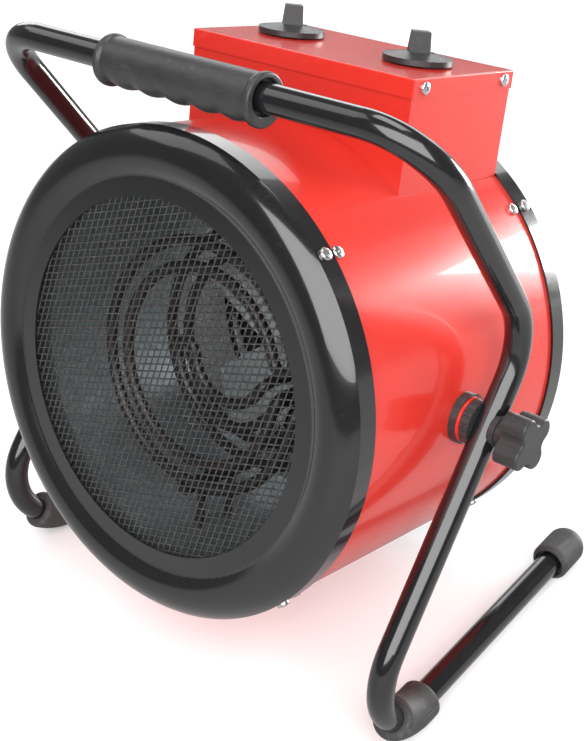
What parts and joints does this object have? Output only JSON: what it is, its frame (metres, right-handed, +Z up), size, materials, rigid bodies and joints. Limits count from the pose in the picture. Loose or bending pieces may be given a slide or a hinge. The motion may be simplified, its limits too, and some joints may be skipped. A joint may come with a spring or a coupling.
{
  "type": "forced air heater",
  "caption": "Portable fan heater: round sheet drum with mesh ends and a control box, slung by clamp pivots in a bent tube stand with hand grip and rubber feet.",
  "frame": {"origin": "on the floor below the middle of the whole heater, with the drum tilted as pictured", "axes": "+Z up, -Y the way the air blows, +X to the right of someone facing the outlet mesh"},
  "size_m": [0.4304, 0.3104, 0.4313],
  "materials": {
    "red_powder_coat": "gloss",
    "black_powder_coat": "gloss",
    "mesh_metal": "satin",
    "galvanised_sheet": "spangled",
    "zinc_steel": "bright",
    "element_sheath": "heat tinted",
    "dark_plastic": "satin",
    "switch_plastic": "moulded",
    "cream_plastic": "moulded",
    "foot_rubber": "matte",
    "fan_metal": "satin",
    "motor_paint": "satin"
  },
  "bodies": {
    "stand": {"frame_tube": "black_powder_coat", "handle_grip": "dark_plastic", "front_left_foot": "foot_rubber", "front_right_foot": "foot_rubber", "rear_left_foot": "foot_rubber", "rear_right_foot": "foot_rubber", "left_inner_saddle": "dark_plastic", "right_inner_saddle": "dark_plastic"},
    "drum": {"drum_shell": "red_powder_coat", "front_ring": "black_powder_coat", "rear_ring": "black_powder_coat", "front_mesh": "mesh_metal", "rear_mesh": "mesh_metal", "front_ring_screws": "zinc_steel", "front_drum_screws": "zinc_steel", "rear_drum_screws": "zinc_steel", "rear_ring_screws": "zinc_steel", "left_pivot_washer": "dark_plastic", "right_pivot_washer": "dark_plastic", "left_pivot_disc": "red_powder_coat", "right_pivot_disc": "red_powder_coat", "left_pivot_nut": "zinc_steel", "right_pivot_nut": "zinc_steel", "heat_duct": "galvanised_sheet", "front_element": "element_sheath", "middle_element": "element_sheath", "rear_element": "element_sheath", "element_carrier": "galvanised_sheet", "element_stay": "element_sheath", "carrier_screws": "zinc_steel", "thermal_cutout": "switch_plastic", "fan_motor": "motor_paint", "motor_bracket": "galvanised_sheet", "control_box": "red_powder_coat", "control_box_lid": "red_powder_coat", "lid_screws": "zinc_steel", "selector_switch": "switch_plastic", "thermostat_switch": "switch_plastic", "terminal_block": "cream_plastic", "cable_gland": "dark_plastic", "gland_nut": "dark_plastic"},
    "fan_rotor": {"fan": "fan_metal", "motor_shaft": "zinc_steel"},
    "selector": {"selector_dial": "dark_plastic", "selector_spindle": "zinc_steel"},
    "thermostat": {"thermostat_dial": "dark_plastic", "thermostat_spindle": "zinc_steel"},
    "left_clamp_slider": {"left_outer_saddle": "dark_plastic"},
    "right_clamp_slider": {"right_outer_saddle": "dark_plastic"},
    "left_clamp": {"left_clamp_knob": "dark_plastic", "left_clamp_stud": "zinc_steel"},
    "right_clamp": {"right_clamp_knob": "dark_plastic", "right_clamp_stud": "zinc_steel"}
  },
  "joints": [
    {"name": "drum_tilt", "type": "hinge", "parent": "stand", "child": "drum", "pos_m": [0, -0.00443, 0.2055], "axis": [1, 0, 0], "range_deg": [-8, 25]},
    {"name": "fan_spin", "type": "hinge", "parent": "drum", "child": "fan_rotor", "pos_m": [0, 0.03692, 0.19323], "axis": [0, 0.9781, -0.2079], "continuous": true},
    {"name": "selector_turn", "type": "hinge", "parent": "drum", "child": "selector", "pos_m": [0.055, 0.08664, 0.39347], "axis": [0, 0.2079, 0.9781], "range_deg": [-180, 0]},
    {"name": "thermostat_turn", "type": "hinge", "parent": "drum", "child": "thermostat", "pos_m": [-0.055, 0.08664, 0.39347], "axis": [0, 0.2079, 0.9781], "range_deg": [-270, 0]},
    {"name": "left_clamp_slide", "type": "slide", "parent": "stand", "child": "left_clamp_slider", "axis": [-1, 0, 0], "range_m": [0, 0.0025]},
    {"name": "left_clamp_turn", "type": "hinge", "parent": "left_clamp_slider", "child": "left_clamp", "pos_m": [-0.19, -0.00443, 0.2055], "axis": [-1, 0, 0], "range_deg": [0, 720]},
    {"name": "right_clamp_slide", "type": "slide", "parent": "stand", "child": "right_clamp_slider", "axis": [1, 0, 0], "range_m": [0, 0.0025]},
    {"name": "right_clamp_turn", "type": "hinge", "parent": "right_clamp_slider", "child": "right_clamp", "pos_m": [0.19, -0.00443, 0.2055], "axis": [1, 0, 0], "range_deg": [0, 720]}
  ],
  "couplings": [
    {"joint": "left_clamp_turn", "follows": "left_clamp_slide", "rad_per_m": 5026.5},
    {"joint": "right_clamp_turn", "follows": "right_clamp_slide", "rad_per_m": 5026.5}
  ]
}
